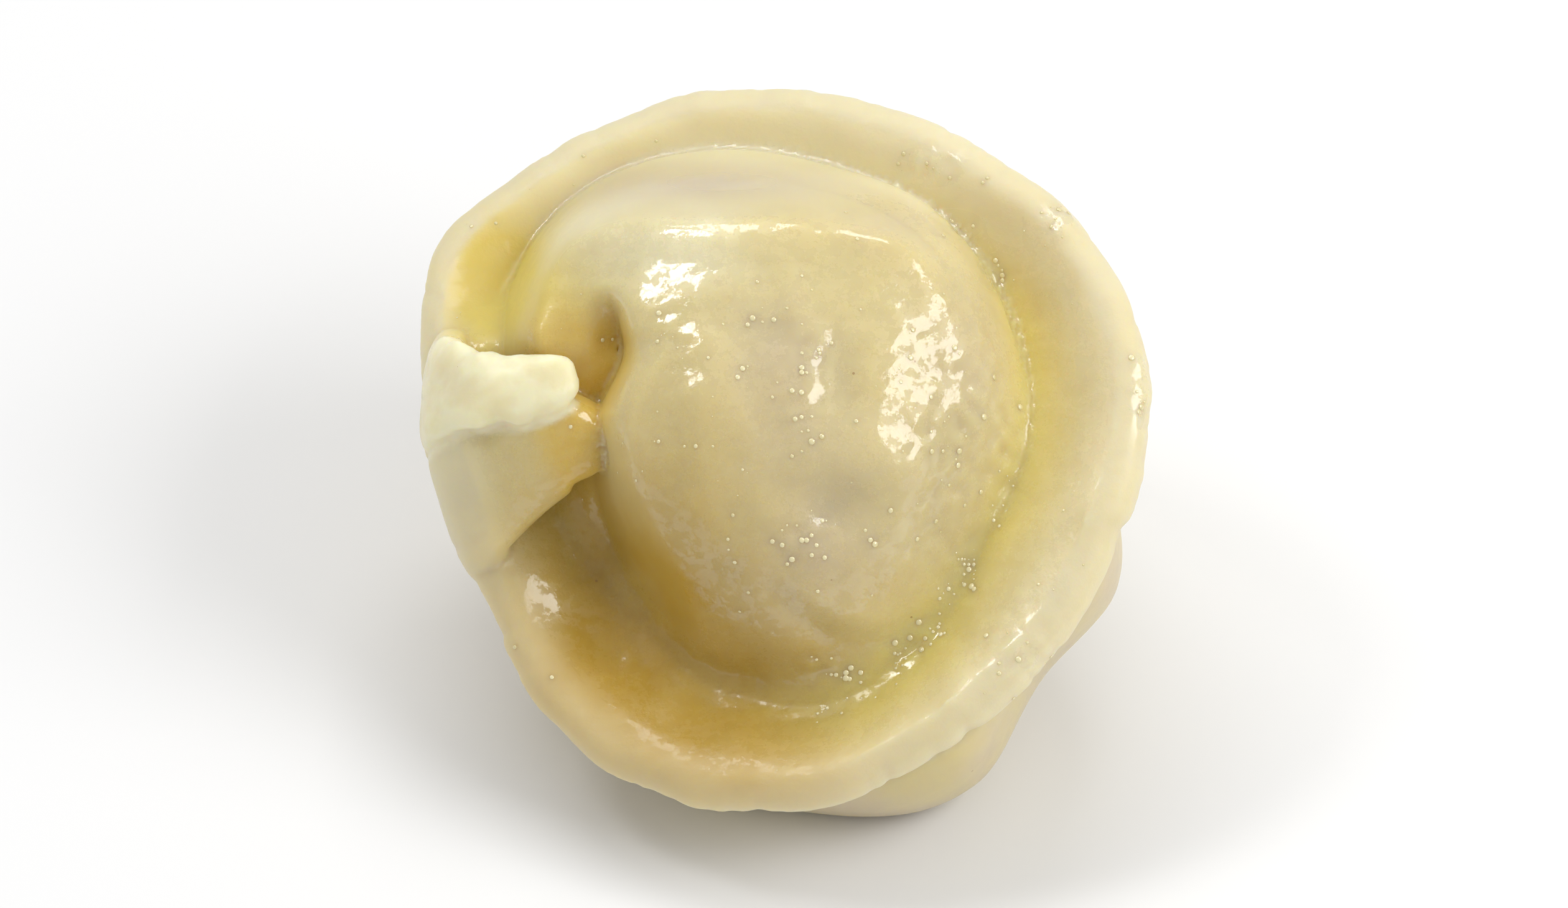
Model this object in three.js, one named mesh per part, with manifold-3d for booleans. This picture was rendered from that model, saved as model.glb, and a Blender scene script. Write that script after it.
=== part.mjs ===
// A boiled dumpling: a round wrapper folded over its filling, its rim pressed into a brim that
// flares round the front belly, and its two corners brought together in a pinch at the left.
// Millimetres, +Z up, origin under the middle of the dumpling, which stands on a flattened spot.
//
// The shape is worked out in a face frame and then laid back: U runs right across the face, V up
// it and W straight out of it. Angles run counterclockwise round the middle of the belly, from U.

import * as THREE from 'three';
import { ParametricGeometry } from 'three/addons/geometries/ParametricGeometry.js';
import { mergeVertices } from 'three/addons/utils/BufferGeometryUtils.js';
import Module from 'manifold-3d';

// ---- driving dimensions ----

const FACE_TILT = THREE.MathUtils.degToRad(45);
const BELLY_MIDDLE = { u: -2.3, v: 1.3 };
const BRIM_LEAN = { u: 0.28, v: -0.26 };
const BRIM_THICKNESS = 2.9;
const BRIM_FLOOR = -1;
const CURL_POWER = 1.25;
const CURL_RELAX = 0.294;

// Rings of [degrees, millimetres].
const BRIM_REACH = [
  [8, 23.3], [30, 22.8], [50, 21.4], [75, 20.5], [118, 20.4], [134, 20.9], [151, 21.9],
  [170, 20.3], [195, 18.4], [222, 20], [248, 22.2], [272, 22.8], [300, 22], [328, 22],
];
const BELLY_REACH = [
  [0, 15.8], [27, 16.1], [66, 15.5], [100, 16.3], [130, 16.6], [153, 15.9], [180, 14],
  [213, 12.6], [238, 13.3], [262, 15.7], [285, 17], [305, 16.2], [328, 14.8], [345, 15.2],
];
const BRIM_CURL = [
  [0, 2.7], [45, 1.9], [90, 1], [125, 1.2], [158, 1.7], [175, 2.7], [200, 2.7], [225, 3.1],
  [270, 3],
];
const SHOULDER_WIDTH = [
  [0, 4.8], [24, 3.4], [45, 2.4], [79, 3.8], [103, 4.3], [138, 1.8], [180, 4], [270, 6.5],
  [325, 7.5],
];
const SEAM_SOFTNESS = [
  [0, 2.4], [36, 0.7], [60, 0.5], [90, 0.8], [160, 1.4], [250, 1.8], [320, 2.6],
];
const BACK_REACH = [
  [0, 19.2], [45, 18.2], [90, 17.6], [140, 17.6], [182, 16], [215, 17.6], [265, 21.2],
  [300, 22.7], [320, 20.3], [338, 21.4],
];
// A ring of [degrees, millimetres]: how far the brim's floor rises towards the pinch.
const BRIM_RISE = [[100, 0], [140, 0.9], [165, 3.3], [195, 3.3], [225, 1], [260, 0]];
// A ring of [degrees, power]: how roundly the belly turns down at its shoulder.
const SHOULDER_POWER = [[0, 2.1], [50, 1.9], [90, 1.45], [138, 1.8], [200, 2]];

const BELLY_HEIGHT = 10;
const BELLY_TOP = { u: 0.5, v: 0 };
const BELLY_CURVE_RADIUS = 21;
const BELLY_ROOT = 2.5;
const MIDDLE_CALM = 8;
const SHOULDER_MARGIN = 0.6;
const SHOULDER_DROP = 4;
const CREST = { u: -6, v: 12.7, halfLength: 10, halfWidth: 1.5, height: 0.6 };
// The brim joins the left lobe here, just above the pinch.
const SADDLE = { u: -17.2, v: 6, across: 2.4, along: 2.4, height: 2.6 };
const OVERHANG = { angle: 52, spread: 22, amount: 0.9, height: 6, reach: 6, fade: 4 };

// The recess by the pinch: a wall along stations of [v, u], wider at its foot, and a slope up to
// the left lobe. Its top edge is crisp by the wall and soft further left.
const RECESS_WALL = [
  [-16, -5.2], [-11, -8.2], [-6.5, -10.3], [-2, -11.5], [1.5, -11.2], [5, -9.6], [7, -9.8],
  [9, -10.8], [12, -12.8],
];
const RECESS = { depth: 4.6, top: 9.6, wallRun: 4, run: 6, spread: 4.5 };
const WALL = { width: 2.2, footWidening: 0.6, footTop: 1, footRun: 6 };
const SLOPE = { width: 6, loss: 0.75, foot: -1, run: 6 };

// The lower edge of the main lobe, a shallow arc, and the tier below it.
const LOWER_EDGE = { u: 5.2, v: -10.2, bend: 0.075, from: -2.5, rise: 5.5, to: 10.5, fall: 3 };
const LOWER_STEP = { lead: 0.3, height: 1.25, width: 2.2 };
const UNDERCUT = { depth: 0.12, at: 1.4, halfWidth: 1 };

// The belly falls away at the lower left, from a line through this point, across it.
const LEFT_FALL = { u: -9, v: -1, acrossU: -0.614, acrossV: -0.789, run: 7, drop: 3 };

// Dents and swells of the belly: middle, half-widths and height.
const SWELLS = [
  { u: -1.4, v: 6.3, across: 2.6, along: 3, height: -0.65 },
  { u: 2.9, v: -3.7, across: 2.4, along: 1.9, height: -0.95 },
  { u: 3, v: 3.8, across: 1.8, along: 3.6, height: -0.8 },
  { u: 10.2, v: 2.2, across: 4.2, along: 6, height: -0.8 },
  { u: -4.6, v: 3, across: 1.8, along: 4.5, height: 0.25 },
  { u: -5.5, v: -2.5, across: 2.6, along: 3.4, height: 0.45 },
  { u: -2, v: -11.6, across: 4.6, along: 2.4, height: 0.7 },
];

const BACK_MIDDLE_DEPTH = 7.5;
const BACK_DEPTH = 10.5;
const BACK_NECK = THREE.MathUtils.degToRad(-17);
const BACK_BLEND = 3;

// The pinched corners: each a flat tongue along a path, [u, v, w] with the direction its width
// takes there, and its width and thickness.
const UPPER_CORNER = [
  { at: [-20.2, 2.6, -3.5], width: 9, thickness: 3, across: [0.1, 1, -0.3] },
  { at: [-20.4, 3, 1], width: 6.6, thickness: 2.6, across: [0.1, 1, -0.25] },
  { at: [-18.6, 3.3, 4.2], width: 4.7, thickness: 2.2, across: [0.1, 1, -0.15] },
  { at: [-15.6, 3.3, 5.2], width: 4, thickness: 1.9, across: [0.05, 1, -0.1] },
  { at: [-12.5, 4, 5.6], width: 2.6, thickness: 1.6, across: [0, 1, -0.1] },
];
const LOWER_CORNER = [
  { at: [-18.2, -5.2, -3.4], width: 8.8, thickness: 4, across: [-0.4, 0.9, 0] },
  { at: [-18.8, -3.2, 0.6], width: 7.8, thickness: 3.4, across: [-0.3, 1, 0.1] },
  { at: [-16.6, -1.2, 2.4], width: 7.2, thickness: 3.8, across: [-0.2, 1, 0.2] },
  { at: [-13.4, 0.2, 3.4], width: 5.9, thickness: 4, across: [-0.2, 1, 0.25] },
  { at: [-10.4, -0.1, 3.3], width: 3, thickness: 3, across: [-0.1, 1, 0.25] },
];
const CORNER_CAP = 1.3;
const CORNER_END_WIDTH = 0.35;
const CORNER_SQUARENESS = 0.7;
const CORNER_TENSION = 0.5;

const FLAT_DEPTH = 2.8;
const FLAT_SOFTNESS = 0.4;
const BASE_SHAVE = 0.1;
const CUTTER = { side: 100, depth: 10 };

// Rows of facets: on the crown, its shoulder, the brim, round the lip, under and over the back.
const ROWS = { crown: 12, shoulder: 9, brim: 7, lip: 5, under: 2, back: 12 };
const BODY_ROWS = Object.values(ROWS).reduce((sum, count) => sum + count);
const COLUMNS = 88;
const CORNER_ROWS = 18;
const CORNER_COLUMNS = 14;

// ---- small functions ----

const clamp01 = (x) => THREE.MathUtils.clamp(x, 0, 1);
const ease = (x) => THREE.MathUtils.smoothstep(x, 0, 1);
const softMax = (a, b, softness) => (a + b + Math.hypot(a - b, softness)) / 2;
const hill = (u, v, halfU, halfV) => Math.exp(-((u / halfU) ** 2) - (v / halfV) ** 2);

/** Cubic between two stations, with the slope at each. */
function cubic(x, [x0, y0], slope0, [x1, y1], slope1) {
  const span = x1 - x0;
  const s = (x - x0) / span;
  const rise = s * s * (3 - 2 * s);
  return y0 + (y1 - y0) * rise + span * s * (1 - s) * (slope0 * (1 - s) - slope1 * s);
}

/** The value at x on the smooth line through stations, held past its ends. */
function alongLine(stations, x) {
  const last = stations.length - 1;
  const held = THREE.MathUtils.clamp(x, stations[0][0], stations[last][0]);
  const slope = (i) => {
    const [x0, y0] = stations[Math.max(i - 1, 0)];
    const [x1, y1] = stations[Math.min(i + 1, last)];
    return (y1 - y0) / (x1 - x0);
  };
  let i = 0;
  while (i < last - 1 && stations[i + 1][0] <= held) i += 1;
  return cubic(held, stations[i], slope(i), stations[i + 1], slope(i + 1));
}

/** The value at an angle on the smooth closed ring through stations. */
function roundRing(stations, degrees) {
  const turned = (by) => stations.map(([angle, value]) => [angle + by, value]);
  const line = [...turned(-360), ...turned(0), ...turned(360)];
  return alongLine(line, THREE.MathUtils.euclideanModulo(degrees, 360));
}

// ---- the body in the face frame ----

const brimPlane = (u, v) => BRIM_LEAN.u * u + BRIM_LEAN.v * v;
const BRIM_NORMAL = new THREE.Vector3(-BRIM_LEAN.u, -BRIM_LEAN.v, 1).normalize();

/** The ring values at one angle, worked out once for a column of facets. */
function columnAt(degrees) {
  return {
    degrees,
    brimReach: roundRing(BRIM_REACH, degrees),
    bellyReach: roundRing(BELLY_REACH, degrees),
    curl: roundRing(BRIM_CURL, degrees),
    rise: roundRing(BRIM_RISE, degrees),
    shoulderWidth: roundRing(SHOULDER_WIDTH, degrees),
    shoulderPower: roundRing(SHOULDER_POWER, degrees),
    softness: roundRing(SEAM_SOFTNESS, degrees),
    backReach: roundRing(BACK_REACH, degrees),
  };
}

/** The brim's upper surface above the brim plane: curling up to its lip from a level floor. */
function brimHeight(column, reach) {
  const lipReach = column.brimReach - BRIM_THICKNESS / 2;
  const t = clamp01((reach - column.bellyReach) / (lipReach - column.bellyReach));
  const relaxed = (1 - CURL_RELAX * t ** 3) / (1 - CURL_RELAX);
  return BRIM_FLOOR + column.rise + column.curl * t ** CURL_POWER * relaxed;
}

/** The belly's crown: a shallow dome, less the recess, the lower step and the dents. */
function crownHeight(u, v) {
  const dome = (u - BELLY_TOP.u) ** 2 + (v - BELLY_TOP.v) ** 2;
  let w = BELLY_HEIGHT - dome / (2 * BELLY_CURVE_RADIUS);

  const fromWall = u - alongLine(RECESS_WALL, v);
  const foot = WALL.footWidening * ease((WALL.footTop - v) / WALL.footRun);
  const wall = Math.sin(Math.PI / 2 * clamp01(fromWall / (WALL.width * (1 + foot))));
  const ramp = Math.sin(Math.PI / 2 * clamp01(-fromWall / SLOPE.width));
  const slope = SLOPE.loss * ramp * ease((v - SLOPE.foot) / SLOPE.run);
  const empty = fromWall > 0 ? 1 - wall : 1 - slope;
  const left = ease(-fromWall / RECESS.spread);
  const run = THREE.MathUtils.lerp(RECESS.wallRun, RECESS.run, left);
  w -= RECESS.depth * ease((RECESS.top - v) / run) * empty;

  const below = LOWER_EDGE.v + LOWER_EDGE.bend * (u - LOWER_EDGE.u) ** 2 - v;
  const rise = ease((u - LOWER_EDGE.from) / LOWER_EDGE.rise);
  const span = rise * ease((LOWER_EDGE.to - u) / LOWER_EDGE.fall);
  const step = LOWER_STEP.height * ease((below + LOWER_STEP.lead) / LOWER_STEP.width);
  w -= span * (step + UNDERCUT.depth * hill(below - UNDERCUT.at, 0, UNDERCUT.halfWidth, 1));
  const past = (u - LEFT_FALL.u) * LEFT_FALL.acrossU + (v - LEFT_FALL.v) * LEFT_FALL.acrossV;
  w -= (1 - span) * LEFT_FALL.drop * ease(past / LEFT_FALL.run);

  for (const { u: u0, v: v0, across, along, height } of SWELLS) {
    w += height * hill(u - u0, v - v0, across, along);
  }
  return w + CREST.height * hill(u - CREST.u, v - CREST.v, CREST.halfLength, CREST.halfWidth);
}

/** A point of the front: belly and brim joined by a soft maximum, bulging over the groove. */
function frontPoint(column, reach, target) {
  const angle = THREE.MathUtils.degToRad(column.degrees);
  const u = BELLY_MIDDLE.u + reach * Math.cos(angle);
  const v = BELLY_MIDDLE.v + reach * Math.sin(angle);
  const inside = column.bellyReach - reach;

  const brim = brimPlane(u, v) + brimHeight(column, reach);
  const root = brimPlane(u, v) + BRIM_FLOOR - BELLY_ROOT;
  const turn = clamp01((inside + SHOULDER_MARGIN) / (column.shoulderWidth + SHOULDER_MARGIN));
  const shoulder = (1 - (1 - turn) ** column.shoulderPower) ** (1 / column.shoulderPower);
  const dropped = SHOULDER_DROP * Math.max(-SHOULDER_MARGIN - inside, 0);
  const belly = root + (crownHeight(u, v) - root) * shoulder - dropped;
  const joined = softMax(belly, brim, column.softness * ease(reach / MIDDLE_CALM));
  const w = joined + SADDLE.height * hill(u - SADDLE.u, v - SADDLE.v, SADDLE.across, SADDLE.along);

  const lift = clamp01((w - brim) / OVERHANG.height);
  const sector = Math.exp(-(((column.degrees - OVERHANG.angle) / OVERHANG.spread) ** 2));
  const near = ease((OVERHANG.reach - inside) / OVERHANG.fade);
  const bulge = OVERHANG.amount * sector * near * 4 * lift * (1 - lift);
  return target.set(u + bulge * Math.cos(angle), v + bulge * Math.sin(angle), w);
}

/** A point at a reach and angle, at a height over the brim plane, then so deep behind it. */
function pointBehind(column, reach, height, depth, target) {
  const angle = THREE.MathUtils.degToRad(column.degrees);
  const u = BELLY_MIDDLE.u + reach * Math.cos(angle);
  const v = BELLY_MIDDLE.v + reach * Math.sin(angle);
  return target.set(u, v, brimPlane(u, v) + height).addScaledVector(BRIM_NORMAL, -depth);
}

/** The body: clockwise round the belly with `across`, from the front middle to the back. */
function bodyPoint(across, along, target) {
  const column = columnAt(360 * ((1 - across) % 1));
  const { bellyReach, shoulderWidth } = column;
  const half = BRIM_THICKNESS / 2;
  const lipReach = column.brimReach - half;
  let row = Math.round(along * BODY_ROWS);
  if (row <= ROWS.crown) {
    return frontPoint(column, (bellyReach - shoulderWidth) * row / ROWS.crown, target);
  }
  row -= ROWS.crown;
  if (row <= ROWS.shoulder) {
    const reach = bellyReach - shoulderWidth * (1 - row / ROWS.shoulder);
    return frontPoint(column, reach, target);
  }
  row -= ROWS.shoulder;
  if (row <= ROWS.brim) {
    const reach = THREE.MathUtils.lerp(bellyReach, lipReach, row / ROWS.brim);
    return frontPoint(column, reach, target);
  }
  row -= ROWS.brim;
  const lipHeight = brimHeight(column, lipReach);
  if (row <= ROWS.lip) {
    const turn = Math.PI * row / ROWS.lip;
    const reach = lipReach + half * Math.sin(turn);
    return pointBehind(column, reach, lipHeight, half * (1 - Math.cos(turn)), target);
  }
  row -= ROWS.lip;
  const neckReach = column.backReach * Math.cos(BACK_NECK);
  if (row <= ROWS.under) {
    const reach = THREE.MathUtils.lerp(lipReach, neckReach, row / ROWS.under);
    return pointBehind(column, reach, brimHeight(column, reach), BRIM_THICKNESS, target);
  }
  row -= ROWS.under;
  const turn = THREE.MathUtils.lerp(BACK_NECK, Math.PI / 2, row / ROWS.back);
  const sunk = (Math.sin(turn) - Math.sin(BACK_NECK)) / (1 - Math.sin(BACK_NECK));
  const blend = ease(BACK_BLEND * sunk);
  const height = THREE.MathUtils.lerp(brimHeight(column, neckReach), BRIM_FLOOR, blend);
  const depth = THREE.MathUtils.lerp(BRIM_THICKNESS, BACK_MIDDLE_DEPTH + BACK_DEPTH, sunk);
  return pointBehind(column, column.backReach * Math.cos(turn), height, depth, target);
}

// ---- the pinched corners ----

/** A function that gives the surface of one tongue, round its section and along its path. */
function cornerSurface(stations) {
  const curve = (vectors) => (
    new THREE.CatmullRomCurve3(vectors, false, 'catmullrom', CORNER_TENSION)
  );
  const path = curve(stations.map(({ at }) => new THREE.Vector3(...at)));
  const sides = curve(stations.map(({ across }) => new THREE.Vector3(...across)));
  const girths = curve(stations.map((s) => new THREE.Vector3(s.width, s.thickness, 0)));
  const length = path.getLength();
  return (around, along, target) => {
    const t = (1 - Math.cos(Math.PI * along)) / 2;
    const forward = path.getTangent(t);
    const side = sides.getPoint(t);
    side.addScaledVector(forward, -side.dot(forward)).normalize();
    const face = new THREE.Vector3().crossVectors(forward, side);
    const girth = girths.getPoint(t);
    const toEnd = clamp01(Math.min(t, 1 - t) * length / CORNER_CAP);
    const cap = Math.sqrt(1 - (1 - toEnd) ** 2);
    const turn = 2 * Math.PI * (around % 1);
    const squared = (x) => Math.sign(x) * Math.abs(x) ** CORNER_SQUARENESS;
    const across = squared(Math.cos(turn)) * THREE.MathUtils.lerp(CORNER_END_WIDTH, 1, cap);
    path.getPoint(t, target);
    target.addScaledVector(side, across * girth.x / 2);
    return target.addScaledVector(face, squared(Math.sin(turn)) * cap * girth.y / 2);
  };
}

// ---- from surfaces to one solid ----

/** Lays a face-frame geometry back, so that the face looks up and to the front. */
function layBack(geometry) {
  const right = new THREE.Vector3(1, 0, 0);
  const up = new THREE.Vector3(0, Math.sin(FACE_TILT), Math.cos(FACE_TILT));
  const out = new THREE.Vector3(0, -Math.cos(FACE_TILT), Math.sin(FACE_TILT));
  return geometry.applyMatrix4(new THREE.Matrix4().makeBasis(right, up, out));
}

/** Presses the underside flat: heights under the floor are eased up to it. */
function pressFlat(geometry) {
  const position = geometry.getAttribute('position');
  geometry.computeBoundingBox();
  const floor = geometry.boundingBox.min.z + FLAT_DEPTH;
  for (let i = 0; i < position.count; i += 1) {
    const over = (position.getZ(i) - floor) / FLAT_SOFTNESS;
    const eased = Math.max(over, 0) + Math.log1p(Math.exp(-Math.abs(over)));
    position.setZ(i, floor + FLAT_SOFTNESS * eased);
  }
  return geometry;
}

const wasm = await Module();
wasm.setup();

/** A closed surface as a solid: its shared points are merged and its empty triangles dropped. */
function solidOf(geometry) {
  geometry.deleteAttribute('normal');
  geometry.deleteAttribute('uv');
  const merged = mergeVertices(geometry);
  const corners = merged.getIndex().array;
  const kept = [];
  for (let i = 0; i < corners.length; i += 3) {
    const [a, b, c] = corners.slice(i, i + 3);
    if (a !== b && b !== c && c !== a) kept.push(a, b, c);
  }
  const vertProperties = merged.getAttribute('position').array;
  const triVerts = new Uint32Array(kept);
  return new wasm.Manifold(new wasm.Mesh({ numProp: 3, vertProperties, triVerts }));
}

/** The solid as a geometry that stands on the ground, with its box's middle over the origin. */
function standingGeometry(solid) {
  const { vertProperties, triVerts } = solid.getMesh();
  const geometry = new THREE.BufferGeometry();
  geometry.setAttribute('position', new THREE.BufferAttribute(vertProperties, 3));
  geometry.setIndex(new THREE.BufferAttribute(triVerts, 1));
  geometry.computeBoundingBox();
  const { min, max } = geometry.boundingBox;
  geometry.translate(-(min.x + max.x) / 2, -(min.y + max.y) / 2, -min.z);
  geometry.computeVertexNormals();
  return geometry;
}

function makeDumpling() {
  const body = pressFlat(layBack(new ParametricGeometry(bodyPoint, COLUMNS, BODY_ROWS)));
  body.computeBoundingBox();
  const ground = body.boundingBox.min.z;
  const corners = [UPPER_CORNER, LOWER_CORNER].map((stations) => {
    const surface = cornerSurface(stations);
    return solidOf(layBack(new ParametricGeometry(surface, CORNER_COLUMNS, CORNER_ROWS)));
  });
  const below = new THREE.BoxGeometry(CUTTER.side, CUTTER.side, CUTTER.depth);
  below.translate(0, 0, ground + BASE_SHAVE - CUTTER.depth / 2);
  let solid = solidOf(body);
  for (const corner of corners) solid = solid.add(corner);
  solid = solid.subtract(solidOf(below));

  const dough = new THREE.MeshStandardMaterial({ color: 0xe3d6a6, roughness: 0.32, metalness: 0 });
  const mesh = new THREE.Mesh(standingGeometry(solid), dough);
  mesh.name = 'dumpling';
  return mesh;
}

const group = new THREE.Group();
group.add(makeDumpling());

export default group;
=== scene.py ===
"""A boiled dumpling, dressed for its looks.

A round wrapper is folded over its filling. Its rim is pressed into a brim that flares round the
front belly, and its two corners come together in a pinch at the left. The shape is worked out in
millimetres in a face frame, U right across the open face, V up it and W straight out of it. It is
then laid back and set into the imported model's box. Angles run counterclockwise round the middle
of the belly, from U.
"""

import math

import bpy
import numpy as np
from bpy.props import FloatProperty, FloatVectorProperty, IntProperty, PointerProperty
from bpy.types import Operator, Panel, PropertyGroup
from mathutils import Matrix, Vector


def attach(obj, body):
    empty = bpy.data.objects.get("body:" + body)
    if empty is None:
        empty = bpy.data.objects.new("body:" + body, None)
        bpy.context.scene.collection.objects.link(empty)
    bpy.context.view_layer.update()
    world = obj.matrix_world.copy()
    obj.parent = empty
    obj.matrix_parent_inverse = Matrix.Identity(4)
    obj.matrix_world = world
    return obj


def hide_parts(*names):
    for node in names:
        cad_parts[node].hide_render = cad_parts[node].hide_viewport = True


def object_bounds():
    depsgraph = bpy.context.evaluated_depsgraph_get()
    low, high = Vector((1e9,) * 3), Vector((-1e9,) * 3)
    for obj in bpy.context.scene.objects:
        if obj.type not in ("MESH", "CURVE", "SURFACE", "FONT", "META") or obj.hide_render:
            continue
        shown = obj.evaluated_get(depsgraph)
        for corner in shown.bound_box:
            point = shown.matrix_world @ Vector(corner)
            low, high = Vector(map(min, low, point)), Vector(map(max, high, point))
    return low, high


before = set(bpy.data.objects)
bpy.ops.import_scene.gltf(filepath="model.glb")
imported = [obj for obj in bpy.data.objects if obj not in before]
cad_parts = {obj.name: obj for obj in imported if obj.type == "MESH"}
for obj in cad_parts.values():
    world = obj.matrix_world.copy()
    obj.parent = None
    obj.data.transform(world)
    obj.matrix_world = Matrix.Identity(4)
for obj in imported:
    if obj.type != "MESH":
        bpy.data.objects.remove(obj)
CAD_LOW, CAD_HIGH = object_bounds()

bl_info = {
    "name": "Boiled dumpling",
    "version": (1, 0, 0),
    "blender": (4, 5, 0),
    "location": "3D View > Sidebar > Dumpling",
    "description": "Makes the wrapper, its beads of broth and the stage",
    "category": "Object",
}

MM = 0.001

# ---- driving dimensions, in millimetres and degrees ----

FACE_TILT = math.radians(45)
BELLY_MIDDLE = (-2.3, 1.3)
BRIM_LEAN = (0.28, -0.26)
BRIM_THICKNESS = 2.9
BRIM_FLOOR = -1.0
CURL_POWER = 1.25
CURL_RELAX = 0.294

# Rings of (degrees, value) round the belly.
BRIM_REACH = (
    (8, 23.3), (30, 22.8), (50, 21.4), (75, 20.5), (118, 20.4), (134, 20.9), (151, 21.9),
    (170, 20.3), (195, 18.4), (222, 20), (248, 22.2), (272, 22.8), (300, 22), (328, 22),
)
BELLY_REACH = (
    (0, 15.8), (27, 16.1), (66, 15.5), (100, 16.3), (130, 16.6), (153, 15.9), (180, 14),
    (213, 12.6), (238, 13.3), (262, 15.7), (285, 17), (305, 16.2), (328, 14.8), (345, 15.2),
)
BRIM_CURL = (
    (0, 2.7), (45, 1.9), (90, 1), (125, 1.2), (158, 1.7), (175, 2.7), (200, 2.7), (225, 3.1),
    (270, 3),
)
BRIM_RISE = ((100, 0), (140, 0.9), (165, 3.3), (195, 3.3), (225, 1), (260, 0))
SHOULDER_WIDTH = (
    (0, 4.8), (24, 3.4), (45, 2.4), (79, 3.8), (103, 4.3), (138, 1.8), (180, 4), (270, 6.5),
    (325, 7.5),
)
SEAM_SOFTNESS = (
    (0, 2.4), (36, 0.7), (60, 0.5), (90, 0.8), (160, 1.4), (250, 1.8), (320, 2.6),
)
BACK_REACH = (
    (0, 19.2), (45, 18.2), (90, 17.6), (140, 17.6), (182, 16), (215, 17.6), (265, 21.2),
    (300, 22.7), (320, 20.3), (338, 21.4),
)
SHOULDER_POWER = ((0, 2.1), (50, 1.9), (90, 1.45), (138, 1.8), (200, 2))

BELLY_HEIGHT = 10
BELLY_TOP = (0.5, 0)
BELLY_CURVE_RADIUS = 21
BELLY_ROOT = 2.5
MIDDLE_CALM = 8
SHOULDER_MARGIN = 0.6
SHOULDER_DROP = 4
LIP_RADIUS = 21

# The recess by the pinch: a wall along stations of (v, u), wider at its foot and leaning over the
# recess, and a slope up to the left lobe.
RECESS_WALL = (
    (-16, -5.2), (-11, -8.2), (-6.5, -10.3), (-2, -11.5), (1.5, -11.2), (5, -9.6), (7, -9.8),
    (9, -10.8), (12, -12.8),
)
RECESS = {"depth": 4.6, "top": 9.6, "wall_run": 4, "left_run": 6, "spread": 4.5}
WALL = {"width": 2.2, "foot_widening": 0.6, "foot_top": 1, "foot_run": 6}
WALL_LEAN = {"amount": 0.8, "at": 0.9, "half_width": 0.9, "top": 9.5, "foot": -1, "run": 3}
SLOPE = {"width": 6, "loss": 0.75, "foot": -1, "run": 6}

# The belly bulges over the groove round this angle.
OVERHANG = {"angle": 52, "spread": 22, "amount": 0.9, "height": 6, "reach": 6, "fade": 4}

# The lower edge of the main lobe, a shallow arc, and the tier below it.
LOWER_EDGE = {"u": 5.2, "v": -10.2, "bend": 0.075}
LOWER_SPAN = {"from": -2.5, "rise": 5.5, "to": 10.5, "fall": 3}
LOWER_STEP = {"lead": 0.3, "height": 1.25, "width": 2.2}
UNDERCUT = {"depth": 0.12, "at": 1.4, "half_width": 1}

# The belly falls away at the lower left, from a line through this point, across it.
LEFT_FALL = {"u": -9, "v": -1, "across_u": -0.614, "across_v": -0.789, "run": 7, "drop": 3}

# Dents and swells of the belly, and the brim's rise to the pinch: middle u and v, half-widths and
# height.
SADDLE = ((-17.2, 6, 2.4, 2.4, 2.6),)
SWELLS = (
    (-1.4, 6.3, 2.6, 3, -0.65),
    (2.9, -3.7, 2.4, 1.9, -0.95),
    (3, 3.8, 1.8, 3.6, -0.8),
    (10.2, 2.2, 4.2, 6, -0.8),
    (-4.6, 3, 1.8, 4.5, 0.25),
    (-5.5, -2.5, 2.6, 3.4, 0.45),
    (-2, -11.6, 4.6, 2.4, 0.7),
    (-6, 12.7, 10, 1.5, 0.6),
)

BACK_MIDDLE_DEPTH = 7.5
BACK_DEPTH = 10.5
BACK_NECK = math.radians(-17)
BACK_BLEND = 3

# The pinched corners: path point, direction of the width, width and thickness at each station.
UPPER_CORNER = (
    ((-20.2, 2.6, -3.5), (0.1, 1, -0.3), 9, 3),
    ((-20.4, 3, 1), (0.1, 1, -0.25), 6.6, 2.6),
    ((-18.6, 3.3, 4.2), (0.1, 1, -0.15), 4.7, 2.2),
    ((-15.6, 3.3, 5.2), (0.05, 1, -0.1), 4, 1.9),
    ((-12.5, 4, 5.6), (0, 1, -0.1), 2.6, 1.6),
)
LOWER_CORNER = (
    ((-18.2, -5.2, -3.4), (-0.4, 0.9, 0), 8.8, 4),
    ((-18.8, -3.2, 0.6), (-0.3, 1, 0.1), 7.8, 3.4),
    ((-16.6, -1.2, 2.4), (-0.2, 1, 0.2), 7.2, 3.8),
    ((-13.4, 0.2, 3.4), (-0.2, 1, 0.25), 5.9, 4),
    ((-10.4, -0.1, 3.3), (-0.1, 1, 0.25), 3, 3),
)
CORNER_CAP = 1.3
CORNER_END_WIDTH = 0.35
CORNER_TIP = 0.02
CORNER_SQUARENESS = 0.7

FLAT_DEPTH = 2.8
FLAT_SOFTNESS = 0.4
BASE_SHAVE = 0.1
BEAD_FLATNESS = 0.33

COLUMNS = 480
ROWS = {"crown": 60, "shoulder": 40, "brim": 36, "lip": 14, "under": 8, "back": 60}
CORNER_ROWS = 60
CORNER_COLUMNS = 48

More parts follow.
